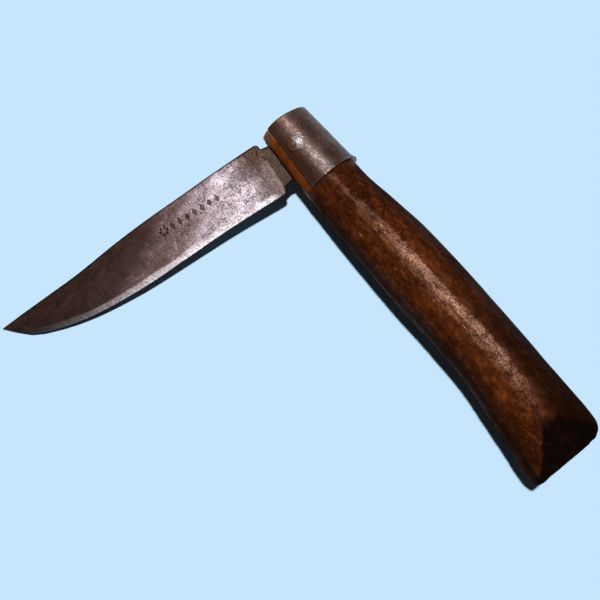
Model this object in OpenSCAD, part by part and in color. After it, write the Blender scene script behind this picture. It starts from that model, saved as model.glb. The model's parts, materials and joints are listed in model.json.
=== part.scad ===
// Folding grafting and pruning knife: a one-piece wooden handle with a sawn
// blade slot, an open steel collar round its front end, and a carbon-steel
// blade on one hammered rivet.
//
// Every piece is drawn in the knife's own axes: the rivet runs along Z through
// the origin, the butt of the handle lies towards +X, and the slot opens
// towards -Y. lay_down() then rests the whole knife on the ground at z = 0,
// on the lower rivet head, the belly of the grip and the tip of the blade.

/* [Handle] */
// Length of the handle, from the collar's front rim to the butt
handle_length = 110; // [106:0.5:120]
// Distance of the rivet behind the front rim
rivet_inset = 8.2; // [8:0.1:9]
// Width of the sawn blade slot
slot_width = 2.6; // [2.5:0.05:2.8]
// Slope of the long whittled flats at the butt, in degrees
butt_flat_slope = 22; // [15:1:24]

/* [Collar] */
// Length of the steel collar along the handle
collar_length = 19.4; // [18:0.1:21]
// Outside radius of the collar at its front rim
collar_front_r = 6.95; // [6.9:0.05:7.2]
// Outside radius of the collar at its rear rim
collar_rear_r = 8.3; // [8.2:0.05:8.5]
// Thickness of the collar's sheet steel
collar_sheet = 0.9; // [0.85:0.05:1]
// Angle of the collar's open side, where the wooden cheeks show
collar_gap_angle = 95; // [90:1:118]

/* [Blade] */
// Distance from the rivet to the tip
blade_reach = 89.5; // [85:0.5:90]
// Thickness of the tang, and of the spine where it leaves the tang
blade_thickness = 2.2; // [2:0.05:2.3]
// Thickness left at the ground edge
edge_thickness = 0.36; // [0.3:0.02:0.6]
// Thickness of the spine at the tip
tip_thickness = 1; // [0.8:0.05:1.4]
// How far the blade is opened as the knife lies, in degrees from the handle
blade_angle = 97.5; // [75:0.5:120]

/* [Rivet] */
// Diameter of the rivet's pin
rivet_d = 3; // [2.6:0.1:3.4]
// Width of the hammered heads
rivet_head_d = 4.8; // [4.2:0.1:5.2]
// Height of the heads above the collar
rivet_head_h = 0.9; // [0.7:0.05:1.2]

/* [Hidden] */
$fn = 96;

// Radial gap between pin and tang, and between pin and the fixed pieces
tang_clearance = 0.05;
pin_fit = 0.01;
// Sideways distance of the collar's axis from the rivet
collar_axis_y = 1.2;
// Anything longer than this reaches right through the knife
through = 40;

// Places along the handle
front_x = -rivet_inset;
collar_rear_x = front_x + collar_length;
butt_x = front_x + handle_length;
grip_length = butt_x - collar_rear_x;

// Wood behind the collar and in its gap, a step below the steel
neck_step = 0.65;
neck_r = collar_rear_r - neck_step;
cheek_front_r = collar_front_r - 0.1;
cheek_rear_r = neck_r - 0.13;

// Lines of the grip: [part of its length, distance from the handle's axis]
BACK_LINE = [
    [0, neck_r + collar_axis_y],
    [0.07, 9.2],
    [0.14, 10.2],
    [0.25, 11.6],
    [0.38, 12.3],
    [0.6, 12.7],
    [0.8, 12.8],
    [0.955, 12.7],
    [0.985, 11.8],
    [1, 9.8],
];
SLOT_LINE = [
    [0, neck_r - collar_axis_y],
    [0.2, 6.8],
    [0.38, 6.8],
    [0.55, 6.2],
    [0.67, 6.2],
    [0.78, 7.3],
    [0.9, 8.5],
    [0.975, 9.1],
    [1, 8.5],
];
HALF_THICKNESS = [
    [0, neck_r],
    [0.15, 7.9],
    [0.4, 8.8],
    [0.65, 9.1],
    [0.85, 9],
    [1, 8.8],
];
// Power of the grip's rounded sections: 2 is an ellipse, more is squarer
SECTION_POWER = [
    [0, 2],
    [0.3, 2.15],
    [1, 2.25],
];
// Rings of points along the grip, closer together over its butt
butt_start = 0.87;
grip_rings = 26;
butt_rings = 10;
ring_points = 32;
RING_PLACES = concat(
    [for (i = [0:grip_rings - 1]) butt_start * i / grip_rings],
    [for (i = [0:butt_rings]) butt_start + (1 - butt_start) * i / butt_rings]
);

// Butt: each whittled flat as [point it passes through, slope, bearing]
BUTT_FLATS = [
    [[butt_x - 11.2, 3.1, 8.8], butt_flat_slope, 29],
    [[butt_x - 3.5, 0, 6.2], butt_flat_slope + 23, 12],
];

// Lines of the blade: [part of the way to the tip, distance from its axis]
tip_drop = 1.9;
spine_height = 7.4;
heel_height = 7.7;
edge_height = 8.7;
SPINE_LINE = [
    [0, spine_height],
    [0.15, 7.1],
    [0.3, 6.5],
    [0.43, 6],
    [0.56, 5.1],
    [0.7, 3.7],
    [0.83, 3],
    [0.93, 2.5],
    [1, tip_drop],
];
EDGE_LINE = [
    [0, heel_height],
    [0.2, heel_height],
    [0.39, 8.3],
    [0.53, edge_height],
    [0.67, 8.3],
    [0.77, 7.3],
    [0.86, 5.5],
    [0.93, 3.2],
    [1, -tip_drop],
];
outline_steps = 28;

// Tang: round about the rivet, then a neck that slants out to the shoulder,
// which meets the collar's front rim when the blade is fully open
shoulder_x = rivet_inset + 0.1;
shoulder_foot = 5.7;
corner_r = 1.3;
neck_x = shoulder_x - 1.6;
tang_r = 5.4;
tang_edge_height = 5.9;
blade_length = blade_reach - shoulder_x;
// Length over which the flat tang is ground away into the blade
plunge = 4;

// Slot: a floor with room behind the rivet for the heel of the folded blade,
// then the saw's run-out to the handle's lower edge
slot_floor_front = 6.6;
slot_floor_heel = 7.55;
slot_floor_rear = 6;
heel_room_x = shoulder_x - 0.8;
run_out_x = 60;
run_out_depth = 17;
run_out_steps = 16;
slot_end_x = blade_reach + 4.5;

// Rear rim of the collar, bent outwards on the back of the knife
rim_length = 1.6;
rim_flare = 0.5;

// Rivet heads lean with the collar's surface beneath them
collar_r_at_rivet = collar_front_r + (collar_rear_r - collar_front_r) * rivet_inset / collar_length;
rivet_lean = asin(collar_axis_y / collar_r_at_rivet);
rivet_dome_drop = 0.7;
rivet_dome_r = (pow(rivet_head_d / 2, 2) + pow(rivet_dome_drop, 2)) / (2 * rivet_dome_drop);
rivet_skirt = 1;
dome_center = collar_r_at_rivet + rivet_head_h - rivet_dome_r;

// Slope of a smooth line at its point i
function line_slope(line, i) =
    let (a = line[max(i - 1, 0)], b = line[min(i + 1, len(line) - 1)])
    (b[1] - a[1]) / (b[0] - a[0]);

// Number of the line's stretch that holds x
function stretch(line, x, i = 0) =
    i >= len(line) - 2 || x <= line[i + 1][0] ? i : stretch(line, x, i + 1);

// Height at x of the smooth line through a list of [x, height]
function along(line, x) =
    let (
        i = stretch(line, x),
        w = line[i + 1][0] - line[i][0],
        t = min(max((x - line[i][0]) / w, 0), 1),
        rise = t * t * (3 - 2 * t),
        leave = t * (1 - t) * (1 - t) * w * line_slope(line, i),
        arrive = t * t * (1 - t) * w * line_slope(line, i + 1)
    )
    line[i][1] * (1 - rise) + line[i + 1][1] * rise + leave - arrive;

// Value raised to a power, keeping its sign
function signed_pow(value, power) = sign(value) * pow(abs(value), power);

// Half width, half thickness, sideways offset and power of the grip at t
function grip_section(t) = [
    (along(BACK_LINE, t) + along(SLOT_LINE, t)) / 2,
    along(HALF_THICKNESS, t),
    (along(BACK_LINE, t) - along(SLOT_LINE, t)) / 2,
    along(SECTION_POWER, t),
];

// Height at [x, y] of the sloping plane of a whittled flat
function flat_height(flat, x, y) =
    let (point = flat[0], slope = flat[1], bearing = flat[2])
    point[2] - tan(slope) * ((x - point[0]) * cos(bearing) + (y - point[1]) * sin(bearing));

// Point on the grip at x and angle a, with the section s cut down by the flats
function grip_point(x, s, a) =
    let (
        y = s[2] + s[0] * signed_pow(cos(a), 2 / s[3]),
        z = s[1] * signed_pow(sin(a), 2 / s[3]),
        room = min([for (flat = BUTT_FLATS) flat_height(flat, x, y)])
    )
    [x, y, sign(z) * min(abs(z), room)];

// Blade outline along its spine, round the tip and back along its edge
function blade_outline() = concat(
    [[neck_x, 0], [neck_x, -tang_r], [shoulder_x, -shoulder_foot]],
    [for (a = [180:15:255])
        [shoulder_x + corner_r * (1 + cos(a)), corner_r * (1 + sin(a)) - spine_height]],
    [for (i = [1:outline_steps])
        let (t = i / outline_steps)
        [shoulder_x + blade_length * t, -along(SPINE_LINE, t)]],
    [for (i = [outline_steps - 1:-1:1])
        let (t = i / outline_steps)
        [shoulder_x + blade_length * t, along(EDGE_LINE, t)]],
    [for (a = [105:15:180])
        [shoulder_x + corner_r * (1 + cos(a)), heel_height - corner_r * (1 - sin(a))]],
    [[neck_x, tang_edge_height]]
);

// Place in the knife's axes of a point on the opened blade
function opened(p) = [
    p[0] * cos(blade_angle) + p[1] * sin(blade_angle),
    p[1] * cos(blade_angle) - p[0] * sin(blade_angle),
];

// How far a rounded section reaches below the axis when the knife rolls
function section_drop(s, roll) =
    let (q = s[3] / (s[3] - 1))
    pow(pow(s[0] * sin(roll), q) + pow(s[1] * cos(roll), q), 1 / q) - s[2] * sin(roll);

// How far the lower rivet head's dome reaches below the rivet's middle
function head_drop(roll) =
    let (y = collar_axis_y - dome_center * sin(rivet_lean), depth = dome_center * cos(rivet_lean))
    rivet_dome_r + depth * cos(roll) - y * sin(roll);

TIP = opened([blade_reach, -tip_drop]);

// Pitch, height and roll at which rivet head, grip and tip all touch the ground
function pitch_at(roll) = max([
    for (t = [0.3:0.02:butt_start])
        let (x = collar_rear_x + grip_length * t)
        atan((section_drop(grip_section(t), roll) - head_drop(roll)) / x)
]);
function height_at(roll) = rivet_dome_r + (head_drop(roll) - rivet_dome_r) * cos(pitch_at(roll));
function next_roll(roll) = asin((height_at(roll) + TIP[0] * sin(pitch_at(roll)) - tip_thickness / 2) / -TIP[1]);
function settled_roll(roll, turns) = turns == 0 ? roll : settled_roll(next_roll(roll), turns - 1);

roll = settled_roll(5, 5);
pitch = pitch_at(roll);
rivet_z = height_at(roll);
center_x = (min([for (p = blade_outline()) opened(p)[0]]) + butt_x) / 2;
center_y = (TIP[1] + max([for (p = BACK_LINE) p[1]])) / 2;

// Rest the knife on the ground, centred on the origin
module lay_down() {
    translate([-center_x, -center_y, rivet_z])
        rotate([roll, -pitch, 0])
            children();
}

// Cone along the handle's front end, longer by `over` at each end
module front_cone(front_r, rear_r, over = 0) {
    flare = (rear_r - front_r) / collar_length * over;
    translate([front_x - over, collar_axis_y, 0])
        rotate([0, 90, 0])
            cylinder(h = collar_length + 2 * over, r1 = front_r - flare, r2 = rear_r + flare);
}

// Wedge of space on the collar's open side
module collar_gap() {
    half = collar_gap_angle / 2;
    translate([front_x - 1, collar_axis_y, 0])
        rotate([90, 0, 90])
            linear_extrude(collar_length + 2)
                polygon(through / 2 * [[0, 0], [-cos(half), sin(half)], [-cos(half), -sin(half)]]);
}

// Turned front end of the wood: a core inside the collar and two cheeks in its gap
module handle_front() {
    front_cone(collar_front_r - collar_sheet, collar_rear_r - collar_sheet);
    intersection() {
        front_cone(cheek_front_r, cheek_rear_r);
        collar_gap();
    }
}

// Grip behind the collar, a smooth skin over rounded sections
module grip() {
    points = [
        for (t = RING_PLACES)
            for (j = [0:ring_points - 1])
                grip_point(collar_rear_x + grip_length * t, grip_section(t), 360 * j / ring_points)
    ];
    last_ring = len(RING_PLACES) - 1;
    sides = [
        for (i = [0:last_ring - 1])
            for (j = [0:ring_points - 1])
                let (
                    a = i * ring_points + j,
                    b = i * ring_points + (j + 1) % ring_points,
                    c = b + ring_points,
                    d = a + ring_points
                )
                for (triangle = [[a, c, b], [a, d, c]]) triangle
    ];
    front_cap = [for (j = [0:ring_points - 1]) j];
    butt_cap = [for (j = [ring_points - 1:-1:0]) last_ring * ring_points + j];
    polyhedron(points, concat(sides, [front_cap, butt_cap]), convexity = 4);
}

// Saw cut that takes the folded blade, open at the front and below
module slot() {
    run_out = [
        for (i = [0:run_out_steps])
            let (a = 90 * i / run_out_steps)
            [run_out_x + (slot_end_x - run_out_x) * sin(a), slot_floor_rear - run_out_depth * (1 - cos(a))]
    ];
    linear_extrude(slot_width, center = true)
        polygon(concat(
            [[slot_end_x, -through], [front_x - 1, -through], [front_x - 1, slot_floor_front]],
            [[heel_room_x / 2, slot_floor_front], [heel_room_x, slot_floor_heel]],
            run_out
        ));
}

// Cross hole for the rivet, of radius r
module rivet_hole(r) {
    cylinder(h = through, r = r, center = true);
}

module handle() {
    color("saddlebrown")
        lay_down()
            difference() {
                union() {
                    handle_front();
                    grip();
                }
                slot();
                rivet_hole(rivet_d / 2 + pin_fit);
            }
}

// Bent stretch of the collar's rear rim
module flared_rim() {
    translate([collar_rear_x - rim_length, collar_axis_y + rim_flare, 0])
        rotate([0, 90, 0])
            cylinder(h = rim_length, r1 = collar_rear_r - rim_flare - 0.15, r2 = collar_rear_r);
}

module collar() {
    color("rosybrown")
        lay_down()
            difference() {
                union() {
                    front_cone(collar_front_r, collar_rear_r);
                    flared_rim();
                }
                front_cone(collar_front_r - collar_sheet, collar_rear_r - collar_sheet, 1);
                collar_gap();
                rivet_hole(rivet_d / 2 + pin_fit);
            }
}

// Flat tang round the rivet, with the neck that joins it to the blade
module tang() {
    spine = blade_thickness / 2;
    edge = edge_thickness / 2;
    linear_extrude(blade_thickness, center = true) {
        circle(tang_r);
        translate([0, -tang_r])
            square([neck_x, tang_r + tang_edge_height]);
    }
    intersection() {
        linear_extrude(blade_thickness, center = true)
            polygon(blade_outline());
        rotate([90, 0, 0])
            linear_extrude(through, center = true)
                polygon([[0, -spine], [shoulder_x, -spine], [shoulder_x + plunge, -edge],
                    [shoulder_x + plunge, edge], [shoulder_x, spine], [0, spine]]);
    }
}

// Blade, ground from its spine to its edge and thinner towards the tip
module ground_blade() {
    spine = blade_thickness / 2;
    edge = edge_thickness / 2;
    tip = tip_thickness / 2;
    intersection() {
        linear_extrude(blade_thickness, center = true)
            polygon(blade_outline());
        rotate([90, 0, 90])
            linear_extrude(through * 3)
                polygon([
                    [-spine_height, -spine], [edge_height, -edge],
                    [edge_height, edge], [-spine_height, spine],
                ]);
        rotate([90, 0, 0])
            linear_extrude(through, center = true)
                polygon([[0, -spine], [shoulder_x, -spine], [blade_reach, -tip],
                    [blade_reach, tip], [shoulder_x, spine], [0, spine]]);
    }
}

module blade() {
    color("slategray")
        lay_down()
            rotate([0, 0, -blade_angle])
                difference() {
                    union() {
                        tang();
                        ground_blade();
                    }
                    rivet_hole(rivet_d / 2 + tang_clearance);
                }
}

// Low domed head, hammered down on the collar
module rivet_head() {
    top = collar_r_at_rivet + rivet_head_h;
    difference() {
        translate([0, collar_axis_y, 0])
            rotate([rivet_lean, 0, 0])
                rotate_extrude()
                    intersection() {
                        translate([0, top - rivet_dome_r])
                            circle(rivet_dome_r);
                        translate([0, top - rivet_dome_drop - rivet_skirt])
                            square([rivet_head_d / 2, through]);
                    }
        front_cone(collar_front_r, collar_rear_r, 1);
    }
}

module rivet() {
    color("dimgray")
        lay_down() {
            cylinder(h = 2 * collar_r_at_rivet - 0.2, r = rivet_d / 2, center = true);
            for (face = [0, 1])
                mirror([0, 0, face])
                    rivet_head();
        }
}

handle();
collar();
blade();
rivet();
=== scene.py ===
import json
import math

import bmesh
import bpy
import numpy as np
from mathutils import Matrix, Vector
from mathutils.bvhtree import BVHTree


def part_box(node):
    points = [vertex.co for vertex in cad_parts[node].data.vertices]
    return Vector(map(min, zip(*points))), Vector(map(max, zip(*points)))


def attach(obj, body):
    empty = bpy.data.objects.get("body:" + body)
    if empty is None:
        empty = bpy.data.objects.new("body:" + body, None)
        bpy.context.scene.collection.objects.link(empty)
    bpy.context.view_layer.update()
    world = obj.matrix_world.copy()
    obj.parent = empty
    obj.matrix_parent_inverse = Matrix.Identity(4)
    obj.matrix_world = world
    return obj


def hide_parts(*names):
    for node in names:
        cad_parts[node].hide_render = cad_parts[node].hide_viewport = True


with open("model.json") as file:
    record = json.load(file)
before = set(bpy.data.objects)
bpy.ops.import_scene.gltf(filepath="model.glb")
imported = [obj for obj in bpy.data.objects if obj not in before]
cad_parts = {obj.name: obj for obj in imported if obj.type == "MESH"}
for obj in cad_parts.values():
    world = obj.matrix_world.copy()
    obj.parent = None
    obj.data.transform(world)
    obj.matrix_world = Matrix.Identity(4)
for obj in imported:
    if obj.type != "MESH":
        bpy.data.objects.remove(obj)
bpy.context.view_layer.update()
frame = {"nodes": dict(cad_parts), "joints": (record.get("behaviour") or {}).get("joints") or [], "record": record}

# Looks of the folding grafting knife. Each CAD node is replaced by one worn
# piece, made in the knife's own axes: origin on the rivet, X towards the butt,
# Z along the rivet and -Y on the side of the slot. Meshes are in metres. Sizes
# below are in millimetres, and MM turns them into metres.
MM = 0.001
WELD_WITHIN = 0.002 * MM

HINGE = frame["joints"][0]
BUTT_FACE = frame["record"]["mounts"][0]
OPEN_STOP = 180 + HINGE["range_deg"][0]


def knife_axes():
    """Matrix of the knife's own axes, from the record's hinge and butt face."""
    z = Vector(HINGE["axis"]).normalized()
    x = Vector(BUTT_FACE["axis"]).normalized()
    turn = Matrix((x, z.cross(x), z)).transposed().to_4x4()
    return Matrix.Translation(HINGE["pos_m"]) @ turn


KNIFE = knife_axes()
BLADE = KNIFE @ Matrix.Rotation(-math.radians(OPEN_STOP), 4, "Z")


# ---------------------------------------------------------------- mesh helpers


def noise(points, size, seed):
    """Smooth value noise from -1 to 1, with lumps about `size` millimetres across."""
    cells = points / (np.array(size) * MM)
    base = np.floor(cells).astype(np.int64)
    t = cells - base
    t = t * t * (3 - 2 * t)
    total = np.zeros(len(points))
    for corner in np.ndindex(2, 2, 2):
        c = base + corner
        h = (c[:, 0] * 73856093) ^ (c[:, 1] * 19349663) ^ (c[:, 2] * 83492791) ^ (seed * 2654435761)
        h = ((h ^ (h >> 13)) * 1274126177) & 0xFFFFFFFF
        value = ((h ^ (h >> 16)) & 0xFFFF) / 32767.5 - 1
        total += np.prod(np.where(corner, t, 1 - t), axis=1) * value
    return total


def rise(values, start, end):
    """0 before start, 1 after end, and smooth between; either may be the larger."""
    t = np.clip((values - start) / (end - start), 0, 1)
    return t * t * (3 - 2 * t)


def points_of(mesh):
    """Places of the vertices, one row each."""
    co = np.empty(len(mesh.vertices) * 3)
    mesh.vertices.foreach_get("co", co)
    return co.reshape(-1, 3)


def normals_of(mesh):
    """Outward directions at the vertices, one row each."""
    n = np.empty(len(mesh.vertices) * 3)
    mesh.vertices.foreach_get("normal", n)
    return n.reshape(-1, 3)


def set_points(mesh, points):
    """Moves the vertices to new places."""
    mesh.vertices.foreach_set("co", points.ravel())
    mesh.update()


def paint(mesh, name, values):
    """Keeps one number per vertex for the material to read."""
    layer = mesh.attributes.new(name, "FLOAT", "POINT")
    layer.data.foreach_set("value", values.astype(np.float32))


def cad_copy(node, name, axes):
    """Welded copy of a CAD node in a new object that has the given axes."""
    mesh = frame["nodes"][node].data.copy()
    mesh.name = name
    mesh.materials.clear()
    mesh.transform(axes.inverted())
    bm = bmesh.new()
    bm.from_mesh(mesh)
    bmesh.ops.remove_doubles(bm, verts=bm.verts, dist=WELD_WITHIN)
    bm.to_mesh(mesh)
    bm.free()
    piece = bpy.data.objects.new(name, mesh)
    bpy.context.scene.collection.objects.link(piece)
    piece.matrix_world = axes
    return piece


def apply_modifiers(piece):
    """Makes the piece's modifiers part of its mesh."""
    bpy.context.view_layer.update()
    graph = bpy.context.evaluated_depsgraph_get()
    baked = bpy.data.meshes.new_from_object(piece.evaluated_get(graph))
    piece.modifiers.clear()
    piece.data = baked


def even_copy(node, name, voxel, rounds):
    """Copy of a CAD node with small even faces and softened corners."""
    piece = cad_copy(node, name, KNIFE)
    even = piece.modifiers.new("even", "REMESH")
    even.mode = "VOXEL"
    even.voxel_size = voxel * MM
    even.use_smooth_shade = True
    soften = piece.modifiers.new("soften", "SMOOTH")
    soften.factor = 0.5
    soften.iterations = rounds
    apply_modifiers(piece)
    return piece


def settle(piece, node):
    """Moves the mesh into the shared frame and holds it inside the CAD node's box."""
    low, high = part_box(node)
    piece.data.transform(piece.matrix_world)
    piece.matrix_world = Matrix.Identity(4)
    set_points(piece.data, np.clip(points_of(piece.data), np.array(low), np.array(high)))


def stand_in(piece, node, body, material):
    """Puts a finished piece in its CAD node's place."""
    settle(piece, node)
    piece.data.materials.append(material)
    piece.data.shade_smooth()
    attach(piece, body)
    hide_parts(node)


# ------------------------------------------------------------ material helpers


class Finish:
    """Builds one procedural material on a Principled shader, in millimetres along the given axes."""

    def __init__(self, name, axes=KNIFE):
        self.material = bpy.data.materials.new(name)
        self.material.use_nodes = True
        self.tree = self.material.node_tree
        self.shader = next(n for n in self.tree.nodes if n.type == "BSDF_PRINCIPLED")
        to_axes = self.add("ShaderNodeMapping", vector_type="TEXTURE")
        to_axes.inputs["Location"].default_value = axes.translation
        to_axes.inputs["Rotation"].default_value = axes.to_euler()
        to_axes.inputs["Scale"].default_value = (MM, MM, MM)
        self.join(self.add("ShaderNodeTexCoord").outputs["Object"], to_axes.inputs["Vector"])
        self.place = to_axes.outputs[0]
        apart = self.add("ShaderNodeSeparateXYZ")
        self.join(self.place, apart.inputs[0])
        self.x, self.y = apart.outputs[:2]

    def add(self, kind, **settings):
        """New shader node with the given settings."""
        node = self.tree.nodes.new(kind)
        for key, value in settings.items():
            setattr(node, key, value)
        return node

    def join(self, source, target):
        """Feeds a socket from another socket, or sets it to a plain number or colour."""
        if isinstance(source, bpy.types.NodeSocket):
            self.tree.links.new(source, target)
        elif isinstance(source, tuple):
            target.default_value = (*source, 1)
        else:
            target.default_value = source

    def math(self, operation, *values):
        """Sum, difference or the like of numbers and sockets."""
        node = self.add("ShaderNodeMath", operation=operation)
        for value, target in zip(values, node.inputs):
            self.join(value, target)
        return node.outputs[0]

    def times(self, a, b):
        """Product of two numbers or sockets."""
        return self.math("MULTIPLY", a, b)

    def noise(self, size, stretch=(1, 1, 1), detail=3, rough=0.5, twist=0.0, offset=0.0):
        """Noise with lumps about size x stretch millimetres across."""
        scaled = self.add("ShaderNodeMapping")
        self.join(self.place, scaled.inputs["Vector"])
        scaled.inputs["Location"].default_value = (offset, offset, offset)
        scaled.inputs["Scale"].default_value = [1 / (size * s) for s in stretch]
        node = self.add("ShaderNodeTexNoise")
        self.join(scaled.outputs[0], node.inputs["Vector"])
        node.inputs["Scale"].default_value = 1
        node.inputs["Detail"].default_value = detail
        node.inputs["Roughness"].default_value = rough
        node.inputs["Distortion"].default_value = twist
        return node.outputs[0]

    def cells(self, size):
        """Distance from the nearest of many scattered points, 0 at each point."""
        scaled = self.add("ShaderNodeMapping")
        self.join(self.place, scaled.inputs["Vector"])
        scaled.inputs["Scale"].default_value = [1 / size] * 3
        node = self.add("ShaderNodeTexVoronoi")
        self.join(scaled.outputs[0], node.inputs["Vector"])
        node.inputs["Scale"].default_value = 1
        return node.outputs["Distance"]

    def painted(self, name):
        """The number that paint() kept under this name."""
        return self.add("ShaderNodeAttribute", attribute_name=name).outputs["Fac"]

    def fade(self, value, start, end, low=0.0, high=1.0):
        """Smooth step from low at start to high at end."""
        node = self.add("ShaderNodeMapRange", interpolation_type="SMOOTHSTEP")
        for source, target in zip((value, start, end, low, high), node.inputs):
            self.join(source, target)
        return node.outputs[0]

    def mix(self, share, a, b):
        """Colour a where share is 0, and colour b where it is 1."""
        node = self.add("ShaderNodeMix", data_type="RGBA")
        self.join(share, node.inputs["Factor"])
        self.join(a, node.inputs[6])
        self.join(b, node.inputs[7])
        return node.outputs[2]

    def bump(self, *layers):
        """Height layers as (value, depth in millimetres), the broadest first."""
        normal = None
        for value, depth in layers:
            node = self.add("ShaderNodeBump")
            node.inputs["Strength"].default_value = 1
            node.inputs["Distance"].default_value = depth * MM
            self.join(value, node.inputs["Height"])
            if normal is not None:
                self.join(normal, node.inputs["Normal"])
            normal = node.outputs[0]
        self.join(normal, self.shader.inputs["Normal"])

    def finish(self, **sockets):
        """Feeds the named inputs of the shader and gives back the material."""
        for name, value in sockets.items():
            self.join(value, self.shader.inputs[name.replace("_", " ").title().replace("Ior", "IOR")])
        return self.material


# --------------------------------------------------------------------- handle

# Places on the wood, in millimetres along the knife's own axes. The flats of the butt,
# sooty and darkened with painted shade, reach FACET_LENGTH forward from its end, and part at FACET_MIDDLE.
# The slot lies inside SLOT_HALF and SLOT_FLOOR with a little to spare, and its
# walls lose only SLOT_SCUFF.
FACET_LENGTH = 11.1
FACET_MIDDLE = 1.2
CHEEKS_TO = 11.2
SLOT_HALF = 1.5
SLOT_FLOOR = 7.5
SLOT_SCUFF = 0.01

# How far the front end is filed back, how far along the knife that reaches, and
# the places across the knife where it starts and is full
FRONT_SLANT = 0.6
SLANT_FADE = 5
SLANT_FROM = -2
SLANT_FULL = 7

# Colours of the wood
DEEP_BROWN = (0.038, 0.0080, 0.0020)
RED_BROWN = (0.076, 0.0165, 0.0038)
RUBBED = (0.190, 0.0460, 0.0100)
STAIN = (0.020, 0.0055, 0.0022)
GRAIN_LINE = (0.018, 0.0050, 0.0022)
GRAIN_FLECK = (0.200, 0.0600, 0.0160)
CHIP = (0.480, 0.1700, 0.0400)
# Painted shade for the sides and the back of the grip
PAINTED_SHADE_BROWN = (0.012, 0.0036, 0.0018)
CHEEK_ORANGE = (0.200, 0.0430, 0.0060)
CHEEK_PALE = (0.240, 0.0950, 0.0520)
# Darker band on the wood just behind the collar
BEHIND_COLLAR_DARK = (0.030, 0.0100, 0.0045)
# Soot on the butt, darkened further as painted shade
SOOT_AND_SHADE = (0.0040, 0.0020, 0.0014)
# Painted shade inside the slot
SLOT_SHADE_WOOD = (0.020, 0.009, 0.005)
WAX = (0.98, 0.56, 0.40)


def slant_front(piece):
    """Files the knife's front end back on the side away from the slot."""
    p = points_of(piece.data)
    front = p[:, 0].min()
    back_side = rise(p[:, 1], SLANT_FROM * MM, SLANT_FULL * MM)
    p[:, 0] += FRONT_SLANT * MM * back_side * rise(p[:, 0], front + SLANT_FADE * MM, front)
    set_points(piece.data, p)


def wear_handle(piece, butt_x):
    """Cuts hand-worn dips, open grain and chips into the wood, and marks where soot and painted shade go on the
    butt, down the sides and in the slot.
    """
    p, n = points_of(piece.data), normals_of(piece.data)
    x, y, z = (p / MM).T
    inside = (np.abs(z) < SLOT_HALF) & (y < SLOT_FLOOR)
    grip = rise(x, CHEEKS_TO, CHEEKS_TO + 3)
    dips = 0.10 + 0.10 * noise(p, (13, 7, 7), 1)
    ripples = 0.045 + 0.045 * noise(p, (5, 2.2, 2.2), 2)
    grain = 0.02 + 0.02 * noise(p, (4, 0.7, 0.7), 3)
    depth = grip * (dips + ripples) + grain

    # Chips along the slot's lips and round the butt; the slot's own walls stay plain
    lip = rise(np.abs(z), 3.0, 1.5) * rise(-y, 4, 6)
    depth += lip * 0.30 * np.maximum(noise(p, (2.6, 1.6, 1.6), 4), 0)
    end = rise(x, butt_x - 6, butt_x)
    depth += end * 0.16 * np.maximum(noise(p, 1.7, 5), 0)
    depth[inside] = SLOT_SCUFF
    set_points(piece.data, p - n * depth[:, None] * MM)

    # Soot and painted shade on the butt's flats: crisp on the slot side of the flats' peak, smoky on the back
    # side, with a fainter painted shade reaching forward along the back
    aside = y - FACET_MIDDLE
    slope = np.where(aside < 0, -1.13 * aside, 1.15 * np.maximum(aside - 3.8, 0))
    into = x - (butt_x - FACET_LENGTH) - slope
    into += 0.5 * noise(p, 2.2, 6)
    soot_and_shade = np.where(aside < 0, rise(into, -0.4, 0.5), rise(into, -2.5, 1.5))
    soot_and_shade = np.maximum(soot_and_shade, 0.55 * rise(aside, -1, 4) * rise(x, butt_x - 24, butt_x - 9))
    paint(piece.data, "soot_and_shade", np.maximum(soot_and_shade, rise(x, butt_x - 3, butt_x - 1)))

    # How far the surface turns away from the crown of the handle, for the painted shade down the sides
    lean = np.abs(n[:, 2])
    paint(piece.data, "side", grip * rise(lean, 0.94, 0.50))
    paint(piece.data, "flank", rise(lean, 0.42, 0.12))
    # Inside the slot, where the wood gets painted shade
    paint(piece.data, "inside", inside.astype(float))


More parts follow.
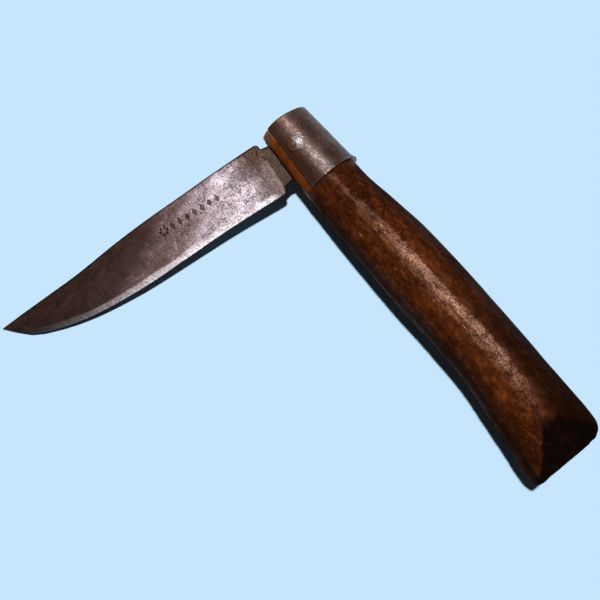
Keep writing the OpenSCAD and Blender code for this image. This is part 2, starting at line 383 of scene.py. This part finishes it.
def wood():
    """Dark wood, shiny along the crown, dull and darkened with painted shade down the sides, and sooty with
    painted shade at the butt.
    """
    f = Finish("worn_wood")
    broad = f.noise(9, (1.9, 1, 1), detail=4, rough=0.55)
    mottle = f.noise(1.5, (1.8, 1, 1), detail=6, rough=0.68, twist=0.5, offset=3)
    streaks = f.noise(0.34, (16, 1, 1), detail=3, rough=0.6)
    flecks = f.noise(0.42, (0.7, 3.2, 3.2), detail=2, rough=0.5, offset=7)
    grit = f.noise(0.45, detail=4, rough=0.7, offset=11)

    # Brown ground, its stains and its grain
    brown = f.mix(f.fade(broad, 0.36, 0.62), DEEP_BROWN, RED_BROWN)
    brown = f.mix(f.fade(mottle, 0.50, 0.70, 0.0, 0.70), brown, RUBBED)
    brown = f.mix(f.fade(mottle, 0.50, 0.34, 0.0, 0.75), brown, STAIN)
    brown = f.mix(f.fade(streaks, 0.54, 0.36, 0.0, 0.40), brown, GRAIN_LINE)
    brown = f.mix(f.fade(flecks, 0.58, 0.70, 0.0, 0.35), brown, GRAIN_FLECK)
    chips = f.fade(f.noise(1.5, (2.2, 0.8, 0.8), detail=2, offset=23), 0.71, 0.75)
    brown = f.mix(f.times(chips, f.fade(broad, 0.44, 0.56)), brown, CHIP)

    # Painted shade down the sides, and along the back towards the butt
    side_shade = f.math("SUBTRACT", 0.82, f.times(f.painted("flank"), 0.60))
    side_shade = f.times(f.painted("side"), side_shade)
    brown = f.mix(side_shade, brown, PAINTED_SHADE_BROWN)
    shaded = f.times(f.fade(f.y, 2.5, 7.5, 0.0, 0.75), f.fade(f.x, 40, 72))
    brown = f.mix(shaded, brown, PAINTED_SHADE_BROWN)

    # Orange wood in the collar's opening, paler at the very front
    cheek = f.fade(f.x, CHEEKS_TO + 0.4, CHEEKS_TO - 0.8)
    cheek = f.times(cheek, f.fade(mottle, 0.28, 0.62, 0.30, 0.95))
    brown = f.mix(cheek, brown, f.mix(f.fade(f.x, -3, -7), CHEEK_ORANGE, CHEEK_PALE))

    # A darker band just behind the collar, soot and painted shade on the butt, and painted shade inside the slot
    behind_collar = f.times(f.fade(f.x, 15.0, 11.4), f.fade(f.x, 10.8, 11.3))
    brown = f.mix(f.times(behind_collar, 0.45), brown, BEHIND_COLLAR_DARK)
    soot_and_shade = f.times(f.painted("soot_and_shade"), f.fade(mottle, 0.72, 0.36, 0.88, 1.0))
    brown = f.mix(soot_and_shade, brown, SOOT_AND_SHADE)
    brown = f.mix(f.times(f.painted("inside"), 0.75), brown, SLOT_SHADE_WOOD)

    # Rougher on the sooty butt and down the sides, and waxed most over the belly of the grip
    matte = f.math("MAXIMUM", soot_and_shade, f.times(f.painted("side"), 0.9))
    gloss = f.fade(mottle, 0.30, 0.70, 0.18, 0.27)
    gloss = f.math("ADD", gloss, f.fade(grit, 0.40, 0.70, 0.0, 0.07))
    gloss = f.math("ADD", gloss, f.times(matte, 0.30))
    waxed = f.times(f.fade(f.x, 14, 44, 0.08, 0.22), f.fade(mottle, 0.38, 0.56, 0.25, 1.1))
    waxed = f.times(waxed, f.fade(broad, 0.34, 0.60, 0.55, 1.0))
    waxed = f.times(waxed, f.fade(f.x, 72, 90, 1.0, 0.25))
    waxed = f.times(waxed, f.fade(grit, 0.42, 0.60, 0.35, 1.6))
    sheen = f.times(waxed, f.math("SUBTRACT", 1.0, f.times(matte, 0.95)))
    f.bump((mottle, 0.03), (streaks, 0.015), (flecks, 0.025), (grit, 0.035))
    return f.finish(base_color=brown, roughness=gloss, specular_ior_level=sheen, specular_tint=WAX)


# --------------------------------------------------------------------- collar

# Sideways distance of the collar's axis from the rivet, and the angle it leaves open
COLLAR_AXIS_Y = 1.2
COLLAR_GAP = 95

# Colours of the collar
BROWNED = (0.088, 0.036, 0.023)
BROWNED_PALE = (0.140, 0.074, 0.058)
BLOTCH = (0.055, 0.018, 0.009)
BARE_PATCH = (0.240, 0.180, 0.168)
EDGE_BROWN = (0.088, 0.027, 0.012)
# Pale steel for the painted highlight along the crown, also the rubbed rear rim
RUB_AND_HIGHLIGHT_STEEL = (0.150, 0.116, 0.110)


def wear_collar(piece):
    """Hammered sheet: shallow dents in its outside and wavy cut edges."""
    p, n = points_of(piece.data), normals_of(piece.data)
    x, y, z = (p / MM).T
    y = y - COLLAR_AXIS_Y
    r = np.hypot(y, z)
    from_gap = np.degrees(np.arctan2(np.abs(z), -y)) - COLLAR_GAP / 2

    # Each cut edge waves in its own way, so the two read the noise 10 mm apart
    along = np.stack([p[:, 0], np.sign(z) * 5 * MM, np.zeros(len(p))], axis=1)
    wave = 1.5 * (1 + noise(along, 4.5, 6)) + 0.6 * (1 + noise(along, 1.4, 7))
    turn = np.radians(wave * rise(from_gap, 22, 0)) * np.sign(z)
    turned_y = y * np.cos(turn) + z * np.sin(turn)
    turned_z = z * np.cos(turn) - y * np.sin(turn)
    turned = np.stack([x, turned_y, turned_z], axis=1)
    outer = rise(r, np.median(r) - 0.1, np.median(r) + 0.1)
    dents = 0.05 * (1 + noise(p, 5, 8)) + 0.02 * (1 + noise(p, 1.6, 9))
    turned[:, 1] += COLLAR_AXIS_Y
    set_points(piece.data, turned * MM - n * (outer * dents)[:, None] * MM)


def collar_steel(rear_x):
    """Brown, blotched sheet steel, paler along its crown as a painted highlight that is partly rubbed wear, and
    rubbed paler at its rear rim.
    """
    f = Finish("browned_steel")
    broad = f.noise(5, detail=4, rough=0.6)
    mottle = f.noise(1.3, detail=6, rough=0.7, twist=0.4, offset=5)
    scratch = f.noise(0.22, (0.8, 9, 9), detail=2, offset=2)
    pits = f.fade(f.cells(0.75), 0.10, 0.30)
    steel = f.mix(f.fade(broad, 0.35, 0.65), BROWNED, BROWNED_PALE)
    steel = f.mix(f.fade(mottle, 0.46, 0.66, 0, 0.7), steel, BLOTCH)
    steel = f.mix(f.fade(mottle, 0.44, 0.28, 0, 0.6), steel, BARE_PATCH)
    steel = f.mix(f.fade(f.y, 0.6, -3.4, 0, 0.75), steel, EDGE_BROWN)
    # Painted highlight: pale steel along the crown, fuller towards the rear, partly rubbed wear; the rear rim is
    # rubbed paler
    crown_rub_and_highlight = f.fade(f.math("ABSOLUTE", f.math("SUBTRACT", f.y, 1.9)), 3.4, 0.8)
    crown_rub_and_highlight = f.times(crown_rub_and_highlight, f.fade(mottle, 0.62, 0.40, 0.3, 0.8))
    crown_rub_and_highlight = f.times(crown_rub_and_highlight, f.fade(f.x, -3, rear_x - 3, 0.35, 1.0))
    rub_and_highlight = f.math("MAXIMUM", crown_rub_and_highlight, f.fade(f.x, rear_x - 0.9, rear_x - 0.2, 0, 0.3))
    steel = f.mix(rub_and_highlight, steel, RUB_AND_HIGHLIGHT_STEEL)
    gloss = f.fade(broad, 0.30, 0.70, 0.28, 0.38)
    gloss = f.math("ADD", gloss, f.fade(mottle, 0.40, 0.70, 0.0, 0.20))
    f.bump((mottle, 0.09), (scratch, 0.06), (pits, 0.03))
    return f.finish(base_color=steel, roughness=gloss, metallic=0.6)


# ---------------------------------------------------------------------- rivet

# Heights between which the pin turns into a head, and how squarish a head is
HEAD_FROM = 6.6
HEAD_FULL = 7.4
HEAD_SQUARE = 0.15
SQUARE_TURN = math.radians(24)

# Each hammer blow as its bearing and lean in degrees, and its depth in millimetres
HAMMER_BLOWS = [(30, 9, 0.10), (115, 20, 0.14), (200, 16, 0.12), (262, 26, 0.22), (330, 22, 0.16)]

# Colours of the rivet: brown with painted shade for the slot side of the head, bright steel as a painted highlight
# on its back side, and rust
HEAD_SHADE_BROWN = (0.190, 0.070, 0.040)
HEAD_HIGHLIGHT_STEEL = (0.400, 0.345, 0.350)
HEAD_RUST = (0.150, 0.060, 0.035)


def wear_rivet(piece):
    """Heads beaten into flat hammer marks and a squarish outline."""
    p, n = points_of(piece.data), normals_of(piece.data)
    x, y, z = (p / MM).T
    head = rise(np.abs(z), HEAD_FROM, HEAD_FULL)
    bearing = np.arctan2(y, x)
    square = 1 - head * HEAD_SQUARE * (0.5 - 0.5 * np.cos(4 * (bearing - SQUARE_TURN)))
    marks = 0.05 * (1 + noise(p, 1.3, 11)) + 0.03 * (1 + noise(p, 0.5, 12))
    shaped = np.stack([x * square, y * square, z], axis=1) - n * (head * marks)[:, None]
    for turn, lean, bite in HAMMER_BLOWS:
        turn, lean = math.radians(turn), math.radians(lean)
        aside = math.sin(lean)
        face = np.array([aside * math.cos(turn), aside * math.sin(turn), math.cos(lean)])
        for side in (face, face * (1, 1, -1)):
            reach = shaped @ side
            shaped -= np.maximum(reach - (reach.max() - bite), 0)[:, None] * side
    set_points(piece.data, shaped * MM)


def rivet_steel():
    """Hammered steel, with a painted highlight of bright steel on the back side of the head, and brown with
    painted shade on the slot side.
    """
    f = Finish("hammered_steel")
    patch = f.noise(1.9, detail=4, rough=0.6, twist=0.3, offset=9)
    fine = f.noise(0.35, detail=4, rough=0.7)
    # Painted highlight on the back side of the head, painted shade in brown on the slot side
    highlight_border = f.math("ADD", f.y, f.fade(patch, 0.3, 0.7, -0.8, 0.8))
    steel = f.mix(f.fade(highlight_border, -0.6, 0.0), HEAD_SHADE_BROWN, HEAD_HIGHLIGHT_STEEL)
    steel = f.mix(f.fade(fine, 0.50, 0.66, 0, 0.7), steel, HEAD_RUST)
    gloss = f.fade(fine, 0.3, 0.7, 0.40, 0.56)
    f.bump((patch, 0.14), (fine, 0.12))
    return f.finish(base_color=steel, roughness=gloss, metallic=0.8)


# ---------------------------------------------------------------------- blade

# The blade is made in its own axes: u runs from the rivet to the tip, and v from
# the spine to the edge. Lengths are in millimetres.
SPINE_ROUND = 0.45
BEVEL = 1.7
HEEL_BEVEL = 0.3
BEVEL_EDGE = 0.07
HEEL_EDGE = 0.12

# Wear leaves at least this much of half the thickness, in millimetres and as a share
LEAST_HALF = 0.02
LEAST_SHARE = 0.55

# Where the blade is narrower than this, its grid, spine and bevel shrink with it
NARROW = 6

# Places along the blade: where the bevel starts and how soon it is full, where the
# flat of the blade starts, and up to where the handle hides the tang
GRIND_FROM = 8.8
GRIND_RUN = 3.5
FLAT_FROM = 14
HIDDEN_FROM = 5.2

# Radius of the CAD blade's pivot hole, and of the spot round it that is first
# filled to the full thickness
PIVOT_HOLE = 1.55
PIVOT_FILL = 2.2

# A row of diamond punches, each with a raised middle, and a ring of dots after it.
# The ring stands RING_GAP of a pitch beyond where one more diamond would be.
STAMP_FROM = 24.5
STAMP_PITCH = 2.25
STAMP_COUNT = 7
STAMP_V = -0.9
STAMP_DEPTH = 0.13
DIAMOND = (0.62, 1.05)
DIAMOND_MIDDLE = (0.30, 0.50)
RING_GAP = 0.15
RING_R = 0.95
DOT_R = 0.42
DOT_FLOOR_R = 0.18

# Colours of the blade, from heel to tip, the grey at the heel partly a painted reflection; then its stains, worn
# places and the painted shade where the handle hides the tang
GREY_STEEL_AND_REFLECTION = (0.200, 0.170, 0.190)
PURPLE_STEEL = (0.088, 0.054, 0.053)
BLACK_STEEL = (0.0115, 0.0040, 0.0026)
CLOUD_DARK = (0.040, 0.022, 0.018)
CLOUD_PALE = (0.26, 0.225, 0.25)
RUST = (0.030, 0.012, 0.007)
TANG_BROWN = (0.042, 0.026, 0.021)
HEEL_RUST = (0.018, 0.0070, 0.0030)
HIDDEN_STEEL_SHADE = (0.016, 0.0085, 0.0055)
GROUND_STEEL = (0.36, 0.32, 0.34)
STAMP_DIRT = (0.030, 0.014, 0.010)


def outline_at(solid, stations):
    """Spine and edge of the CAD blade at each station, from a cut along its middle."""
    bm = bmesh.new()
    bm.from_mesh(solid)
    everything = bm.verts[:] + bm.edges[:] + bm.faces[:]
    cut = bmesh.ops.bisect_plane(bm, geom=everything, plane_co=(0, 0, 0), plane_no=(0, 0, 1))
    edges = [e for e in cut["geom_cut"] if isinstance(e, bmesh.types.BMEdge)]
    ends = np.array([[v.co[:2] for v in e.verts] for e in edges]) / MM
    bm.free()
    ends = ends[np.hypot(*ends[:, 0].T) > PIVOT_FILL]
    a, b = ends[:, 0], ends[:, 1]
    spine, edge = [], []
    for u in stations:
        hit = (a[:, 0] - u) * (b[:, 0] - u) < 0
        t = (u - a[hit, 0]) / (b[hit, 0] - a[hit, 0])
        v = a[hit, 1] + t * (b[hit, 1] - a[hit, 1])
        spine.append(v.min())
        edge.append(v.max())
    return np.array(spine), np.array(edge)


def stamp_depth(u, v):
    """Depth of the stamped row and its ring of dots."""
    depth = np.zeros_like(u)
    dv = np.abs(v - STAMP_V)
    for k in range(STAMP_COUNT):
        du = np.abs(u - STAMP_FROM - k * STAMP_PITCH)
        depth = np.maximum(depth, rise(du / DIAMOND[0] + dv / DIAMOND[1], 1.1, 0.6))
        depth = np.minimum(depth, rise(du / DIAMOND_MIDDLE[0] + dv / DIAMOND_MIDDLE[1], 0.4, 1.0))
    middle = STAMP_FROM + (STAMP_COUNT + RING_GAP) * STAMP_PITCH
    for turn in range(0, 360, 60):
        cu = middle + RING_R * math.cos(math.radians(turn))
        cv = STAMP_V + RING_R * math.sin(math.radians(turn))
        depth = np.maximum(depth, rise(np.hypot(u - cu, v - cv), DOT_R, DOT_FLOOR_R))
    return depth * STAMP_DEPTH


def blade_stations(solid):
    """Places along the blade, close together over the heel, the stamps and the tip."""
    reach = points_of(solid)[:, 0] / MM
    back, tip = reach.min(), reach.max()
    stamp_end = STAMP_FROM + (STAMP_COUNT + 1) * STAMP_PITCH
    bends = np.linspace(0, math.pi / 2, 14)[1:]
    return np.concatenate([
        back * np.cos(bends[:-1] * 0.999),
        np.arange(0.2, GRIND_FROM - 0.6, 0.5),
        np.arange(GRIND_FROM - 0.5, GRIND_FROM + 2, 0.1),
        np.arange(GRIND_FROM + 2.1, STAMP_FROM - 1.3, 0.25),
        np.arange(STAMP_FROM - 1.2, stamp_end, 0.125),
        np.arange(stamp_end + 0.2, tip - 3, 0.4),
        tip - 3 * np.cos(np.linspace(0.1, math.pi / 2 - 0.02, 16)),
    ])


def blade_grid(stations, spine, edge, squeeze):
    """The u and v of each grid point, in rows across the blade, closest at spine and edge."""
    from_spine = np.array([0, 0.04, 0.13, 0.27, 0.45, 0.62])
    from_edge = np.array([2.0, 1.72, 1.6, 1.2, 0.8, 0.4, 0.18, 0.06, 0])
    shares = np.concatenate([
        np.linspace(0.04, 0.30, 9), np.linspace(0.31, 0.58, 30), np.linspace(0.60, 0.86, 10),
    ])
    near_spine = spine + from_spine * squeeze
    near_edge = edge - from_edge * squeeze
    inner_low, inner_high = near_spine[:, -1:], near_edge[:, :1]
    inner = inner_low + (inner_high - inner_low) * (shares - 0.02) / 0.86
    v = np.concatenate([near_spine, inner, near_edge], axis=1)
    u = np.repeat(stations[:, None], v.shape[1], axis=1)
    return u, v


def cad_half(solid, u, v, spine, edge):
    """Half the CAD blade's thickness, its hole filled and its flat run on to the hidden tang."""
    tree = BVHTree.FromPolygons([p.co for p in solid.vertices], [f.vertices for f in solid.polygons])
    inset = np.clip(v, spine + 0.02, edge - 0.02)
    half = np.zeros_like(v)
    for i, j in np.ndindex(*v.shape):
        hit = tree.ray_cast(Vector((u[i, j] * MM, inset[i, j] * MM, 5 * MM)), Vector((0, 0, -1)))
        half[i, j] = hit[0].z / MM if hit[0] is not None else 0
    bored = np.hypot(u, v) < PIVOT_FILL
    half[bored] = half[~bored].max()

    flat = np.argmax(u[:, 0] > FLAT_FROM)
    run_on = np.interp(v, v[flat], half[flat]) + rise(u, HIDDEN_FROM, HIDDEN_FROM - 2.5)
    return np.where(u < FLAT_FROM, np.minimum(half, run_on), half)


def grind(half, u, v, spine, edge, squeeze):
    """Rounds the spine and grinds the bevel; also gives how far each point is on the bevel."""
    to_spine = (v - spine) / squeeze
    round_off = np.clip(SPINE_ROUND - to_spine, 0, SPINE_ROUND)
    half = half - (SPINE_ROUND - np.sqrt(SPINE_ROUND**2 - round_off**2)) * squeeze

    to_edge = (edge - v) / squeeze
    ground = rise(u, GRIND_FROM, GRIND_FROM + GRIND_RUN)
    bevel_width = HEEL_BEVEL + (BEVEL - HEEL_BEVEL) * ground
    along = np.stack([u, 0 * u, 0 * u], -1).reshape(-1, 3) * MM
    wave = 0.22 * noise(along, 6, 21).reshape(u.shape)
    share = np.clip(to_edge / (bevel_width + wave * ground), 0, 1)
    low = BEVEL_EDGE + HEEL_EDGE * (1 - ground)
    half = np.where(half > low, low + (half - low) * share, half)
    return half, ground * rise(share, 1.0, 0.85)


def blade_face(side, u, v, half):
    """Points of one face, pitted and gently wavy, and how deep in a stamp each is."""
    p = np.stack([u * MM, v * MM, np.full_like(u, 2 * side * MM)], -1).reshape(-1, 3)
    half = half.ravel()
    pits = (0.02 + 0.03 * rise(u, 34, 12)).ravel() * rise(noise(p, 1.0, 22 + side), 0.25, 0.75)
    waves = 0.007 * (1 + noise(p, (9, 5, 5), 24 + side))
    stamp = stamp_depth(u, v).ravel() if side == 1 else np.zeros(u.size)
    worn = np.maximum(half - pits - waves - stamp, LEAST_SHARE * half)
    worn[half < LEAST_HALF] = LEAST_HALF
    p[:, 2] = side * worn * MM
    return p, np.clip(stamp / STAMP_DEPTH, 0, 1)


def shell_faces(rows, columns):
    """Four-sided faces over two grids that lie one over the other, and round their rim."""
    row, column = np.meshgrid(np.arange(rows - 1), np.arange(columns - 1), indexing="ij")
    corner = (row * columns + column).ravel()
    top = np.stack([corner, corner + columns, corner + columns + 1, corner + 1], 1)
    under = top[:, ::-1] + rows * columns
    last = (rows - 1) * columns
    loop = np.concatenate([
        np.arange(columns), np.arange(1, rows) * columns + columns - 1,
        last + np.arange(columns - 2, -1, -1), np.arange(rows - 2, 0, -1) * columns,
    ])
    after = np.roll(loop, -1)
    rim = np.stack([loop, after, after + rows * columns, loop + rows * columns], 1)
    return np.concatenate([top, under, rim])


def worn_blade(name):
    """Blade with a ground edge, rounded spine and stamped row, inside the CAD blade."""
    piece = cad_copy("blade", name, BLADE)
    solid = piece.data
    stations = blade_stations(solid)
    spine, edge = (line[:, None] for line in outline_at(solid, stations))
    squeeze = np.minimum(1, (edge - spine) / NARROW)
    u, v = blade_grid(stations, spine, edge, squeeze)
    half = cad_half(solid, u, v, spine, edge)
    half, bright = grind(half, u, v, spine, edge, squeeze)

    front, front_dirt = blade_face(1, u, v, half)
    back, back_dirt = blade_face(-1, u, v, half)
    mesh = bpy.data.meshes.new(name)
    faces = shell_faces(*u.shape)
    mesh.from_pydata(np.concatenate([front, back]).tolist(), [], faces.tolist())
    paint(mesh, "dirt", np.concatenate([front_dirt, back_dirt]))
    paint(mesh, "ground", np.tile(bright.ravel(), 2))
    piece.data = mesh
    bm = bmesh.new()
    bm.from_mesh(mesh)
    bmesh.ops.recalc_face_normals(bm, faces=bm.faces)
    bm.to_mesh(mesh)
    bm.free()
    bore_pivot(piece)
    return piece


def bore_pivot(piece):
    """Cuts the CAD blade's pivot hole through the worn blade."""
    bm = bmesh.new()
    radius = PIVOT_HOLE * MM
    bmesh.ops.create_cone(
        bm, cap_ends=True, segments=64, radius1=radius, radius2=radius, depth=10 * MM
    )
    mesh = bpy.data.meshes.new("drill")
    bm.to_mesh(mesh)
    bm.free()
    drill = bpy.data.objects.new("drill", mesh)
    bpy.context.scene.collection.objects.link(drill)
    drill.matrix_world = piece.matrix_world
    cut = piece.modifiers.new("bore", "BOOLEAN")
    cut.operation = "DIFFERENCE"
    cut.solver = "EXACT"
    cut.object = drill
    apply_modifiers(piece)
    bpy.data.objects.remove(drill)


def blade_steel():
    """Carbon steel, grey at the heel, partly as a painted reflection, and nearly black at the tip, with a bright
    ground edge.
    """
    f = Finish("patinated_carbon_steel", BLADE)
    broad = f.noise(11, (1.6, 1, 1), detail=4, rough=0.55, offset=4)
    cloud = f.noise(3.2, (1.5, 1, 1), detail=6, rough=0.68, twist=0.5, offset=1)
    fine = f.noise(0.45, detail=5, rough=0.72, offset=8)
    brushed = f.noise(0.14, (1, 14, 14), detail=2, offset=3)
    pits = f.fade(f.cells(0.8), 0.06, 0.26)

    # Patina and painted reflection: paler at the heel, darker towards the tip and the spine, with pale clouds and
    # rust
    reach = f.math("ADD", f.x, f.fade(broad, 0.25, 0.75, -8, 8))
    reach = f.math("SUBTRACT", reach, f.y)
    steel = f.mix(f.fade(reach, 14, 38), GREY_STEEL_AND_REFLECTION, PURPLE_STEEL)
    steel = f.mix(f.fade(reach, 29, 54), steel, BLACK_STEEL)
    steel = f.mix(f.fade(cloud, 0.42, 0.70, 0, 0.40), steel, CLOUD_DARK)
    pale = f.times(f.fade(cloud, 0.46, 0.28, 0, 0.25), f.fade(reach, 60, 30))
    steel = f.mix(pale, steel, CLOUD_PALE)
    rust = f.times(f.fade(fine, 0.51, 0.61), f.fade(cloud, 0.34, 0.54))
    steel = f.mix(f.times(rust, 0.85), steel, RUST)

    # Brown at the heel, most of all by the spine, and painted shade where the handle hides it
    steel = f.mix(f.fade(f.x, 19, 11, 0, 0.9), steel, TANG_BROWN)
    heel = f.times(f.fade(f.x, 21, 11), f.fade(f.y, 1, -4.5))
    heel = f.times(heel, f.fade(fine, 0.35, 0.55, 0.7, 1))
    steel = f.mix(heel, steel, HEEL_RUST)
    steel = f.mix(f.fade(f.x, 8.7, 8.1, 0, 0.95), steel, HIDDEN_STEEL_SHADE)

    # Bright bevel, duller towards the tip, and dirt in the stamps
    shine = f.times(f.painted("ground"), f.fade(f.x, 84, 36, 0.12, 0.85))
    shine = f.times(shine, f.fade(fine, 0.60, 0.42, 0.55, 1.0))
    steel = f.mix(shine, steel, GROUND_STEEL)
    dirt = f.times(f.painted("dirt"), f.fade(cloud, 0.35, 0.6, 0.35, 0.9))
    steel = f.mix(dirt, steel, STAMP_DIRT)
    gloss = f.fade(cloud, 0.30, 0.70, 0.36, 0.46)
    gloss = f.math("ADD", gloss, f.fade(fine, 0.40, 0.70, 0, 0.12))
    f.bump((cloud, 0.018), (fine, 0.04), (brushed, 0.012), (pits, 0.03))
    return f.finish(base_color=steel, roughness=gloss, metallic=0.85, specular_ior_level=0.35)


# ---------------------------------------------------------------------- pieces

butt_x = (Vector(BUTT_FACE["pos_m"]) - KNIFE.translation).length / MM

handle = even_copy("handle", "wooden_handle", voxel=0.40, rounds=2)
wear_handle(handle, butt_x)
slant_front(handle)
stand_in(handle, "handle", "handle_body", wood())

collar = even_copy("collar", "steel_collar", voxel=0.20, rounds=2)
collar_rear = points_of(collar.data)[:, 0].max() / MM
wear_collar(collar)
slant_front(collar)
stand_in(collar, "collar", "handle_body", collar_steel(collar_rear))

rivet = even_copy("rivet", "hammered_rivet", voxel=0.12, rounds=1)
wear_rivet(rivet)
stand_in(rivet, "rivet", "handle_body", rivet_steel())

blade = worn_blade("ground_blade")
stand_in(blade, "blade", "blade_body", blade_steel())


# ----------------------------------------------------- floor, light and camera

# Sizes in metres, the lens and its sensor in millimetres, angles in degrees
FLOOR_SIZE = 12.0
FLOOR_COLOUR = (0.53, 0.735, 0.91, 1)
SKY_COLOUR = (0.92, 0.96, 1, 1)
SKY_OVERHEAD = 0.020
SKY_HORIZON = 0.35
HORIZON_BAND = (0.03, 0.22)
KEY_FROM = Vector((-0.125, 0.088, 1))
KEY_SPREAD = 3.5
KEY_STRENGTH = 3.35
CAMERA_PLACE = Vector((23.9, -6.3, 254.6)) * MM
CAMERA_TURN = (9.625, 1.899, 51.134)
CAMERA_LENS = 60
CAMERA_SENSOR = 36


def pale_floor():
    """Plain pale blue floor at z = 0."""
    bm = bmesh.new()
    bmesh.ops.create_grid(bm, x_segments=1, y_segments=1, size=FLOOR_SIZE / 2)
    mesh = bpy.data.meshes.new("floor")
    bm.to_mesh(mesh)
    bm.free()
    floor = bpy.data.objects.new("floor", mesh)
    bpy.context.scene.collection.objects.link(floor)
    cloth = bpy.data.materials.new("pale_cloth")
    cloth.use_nodes = True
    shader = cloth.node_tree.nodes["Principled BSDF"]
    shader.inputs["Base Color"].default_value = FLOOR_COLOUR
    shader.inputs["Roughness"].default_value = 0.9
    shader.inputs["Specular IOR Level"].default_value = 0.1
    mesh.materials.append(cloth)


def far_softbox():
    """Lamp as if far away and almost overhead, wide enough to soften the shadows' edges."""
    data = bpy.data.lights.new("key", "SUN")
    data.energy = KEY_STRENGTH
    data.angle = math.radians(KEY_SPREAD)
    lamp = bpy.data.objects.new("key", data)
    lamp.rotation_euler = KEY_FROM.to_track_quat("Z", "Y").to_euler()
    bpy.context.scene.collection.objects.link(lamp)


def dim_world():
    """Dim sky, brighter at the horizon and below it, where HORIZON_BAND is a ray's rise."""
    world = bpy.data.worlds.new("studio")
    world.use_nodes = True
    nodes, links = world.node_tree.nodes, world.node_tree.links
    aim = nodes.new("ShaderNodeTexCoord")
    up = nodes.new("ShaderNodeSeparateXYZ")
    band = nodes.new("ShaderNodeMapRange")
    band.interpolation_type = "SMOOTHSTEP"
    for socket, value in zip(list(band.inputs)[1:5], (*HORIZON_BAND, SKY_HORIZON, SKY_OVERHEAD)):
        socket.default_value = value
    links.new(aim.outputs["Generated"], up.inputs[0])
    links.new(up.outputs["Z"], band.inputs["Value"])
    links.new(band.outputs[0], nodes["Background"].inputs["Strength"])
    nodes["Background"].inputs["Color"].default_value = SKY_COLOUR
    bpy.context.scene.world = world


def overhead_camera():
    """Camera almost straight above the knife, turned to frame it as the photo does."""
    data = bpy.data.cameras.new("camera")
    data.lens = CAMERA_LENS
    data.sensor_width = CAMERA_SENSOR
    data.clip_start = 10 * MM
    camera = bpy.data.objects.new("camera", data)
    camera.location = CAMERA_PLACE
    camera.rotation_euler = [math.radians(a) for a in CAMERA_TURN]
    bpy.context.scene.collection.objects.link(camera)
    bpy.context.scene.camera = camera


pale_floor()
far_softbox()
dim_world()
overhead_camera()
bpy.context.scene.view_settings.view_transform = "Standard"
